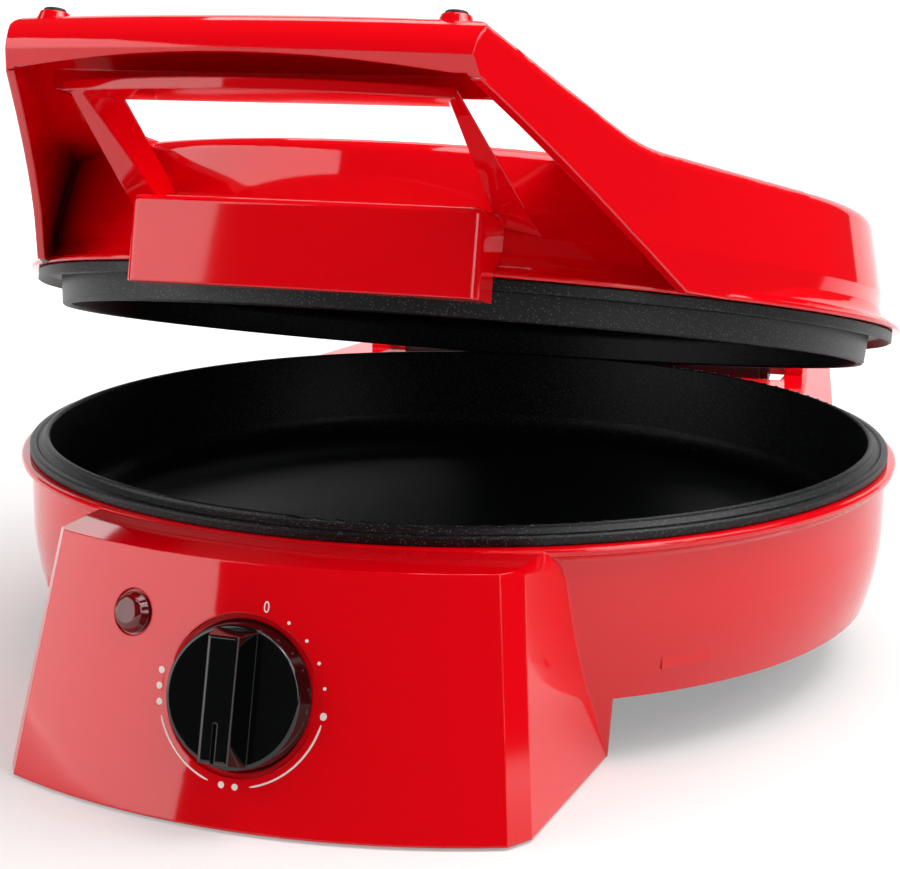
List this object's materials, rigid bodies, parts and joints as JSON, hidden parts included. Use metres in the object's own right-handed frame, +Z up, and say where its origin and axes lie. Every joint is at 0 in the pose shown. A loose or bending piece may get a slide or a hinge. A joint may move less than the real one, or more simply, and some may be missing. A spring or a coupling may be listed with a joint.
{
  "type": "pizza maker",
  "caption": "Countertop pizza maker with a deep round baking pan, a hinged lid with its own hot plate, a bar handle, a control knob and a lamp, standing slightly open.",
  "frame": {"origin": "on the table, under the centre of the baking pan", "axes": "+Z up, -Y to the front, where the control panel is, +X to the right as seen from behind the front's opposite side, that is to the viewer's right when facing the panel"},
  "size_m": [0.318, 0.4308, 0.2236],
  "materials": {
    "red_gloss": "glossy red moulding",
    "coated_cast": "black speckled non-stick coating on cast aluminium",
    "black_moulding": "fine-grained black moulding",
    "knob_gloss": "glossy black moulding",
    "nylon": "smooth black nylon",
    "rubber": "matt black rubber",
    "lens_red": "clear dark red",
    "lamp_glass": "clear glass",
    "screw_steel": "zinc-plated",
    "spring_steel": "bright steel",
    "element_steel": "darkened steel tube",
    "shield_sheet": "bright sheet",
    "control_body": "off-white"
  },
  "bodies": {
    "base": {"base_shell": "red_gloss", "bottom_cover": "black_moulding", "front_foot_cover": "black_moulding", "rear_foot_cover": "black_moulding", "rubber_feet": "rubber", "cover_screws": "screw_steel", "lower_pan": "coated_cast", "lower_heating_element": "element_steel", "lower_heat_shield": "shield_sheet", "pan_clamps": "spring_steel", "pan_screws": "screw_steel", "thermostat_body": "control_body", "thermostat_bracket": "spring_steel", "thermostat_screws": "screw_steel", "lamp_lens": "lens_red", "lamp_body": "lamp_glass", "lamp_retainer": "nylon", "terminal_block": "nylon", "thermal_fuse": "control_body", "cord_gland": "black_moulding", "cord_clamp": "black_moulding", "hinge_pins": "spring_steel"},
    "knob": {"control_knob": "knob_gloss", "thermostat_shaft": "spring_steel", "knob_clip": "spring_steel"},
    "lid": {"lid_shell": "red_gloss", "handle_insert": "red_gloss", "insert_screws": "screw_steel", "stud_tips": "rubber", "lid_plate": "coated_cast", "upper_heating_element": "element_steel", "lid_heat_shield": "shield_sheet", "lid_plate_clips": "spring_steel", "lid_plate_screws": "screw_steel", "hinge_bracket": "black_moulding", "hinge_bracket_screws": "screw_steel", "hinge_bushes": "nylon"}
  },
  "joints": [
    {"name": "lid_hinge", "type": "hinge", "parent": "base", "child": "lid", "pos_m": [0, 0.1889, 0.07095], "axis": [-1, 0, 0], "range_deg": [-12.07, 167.93]},
    {"name": "knob_turn", "type": "hinge", "parent": "base", "child": "knob", "pos_m": [0, -0.19617, 0.0372], "axis": [0, 0.9687, -0.2482], "range_deg": [-166, 89]}
  ]
}
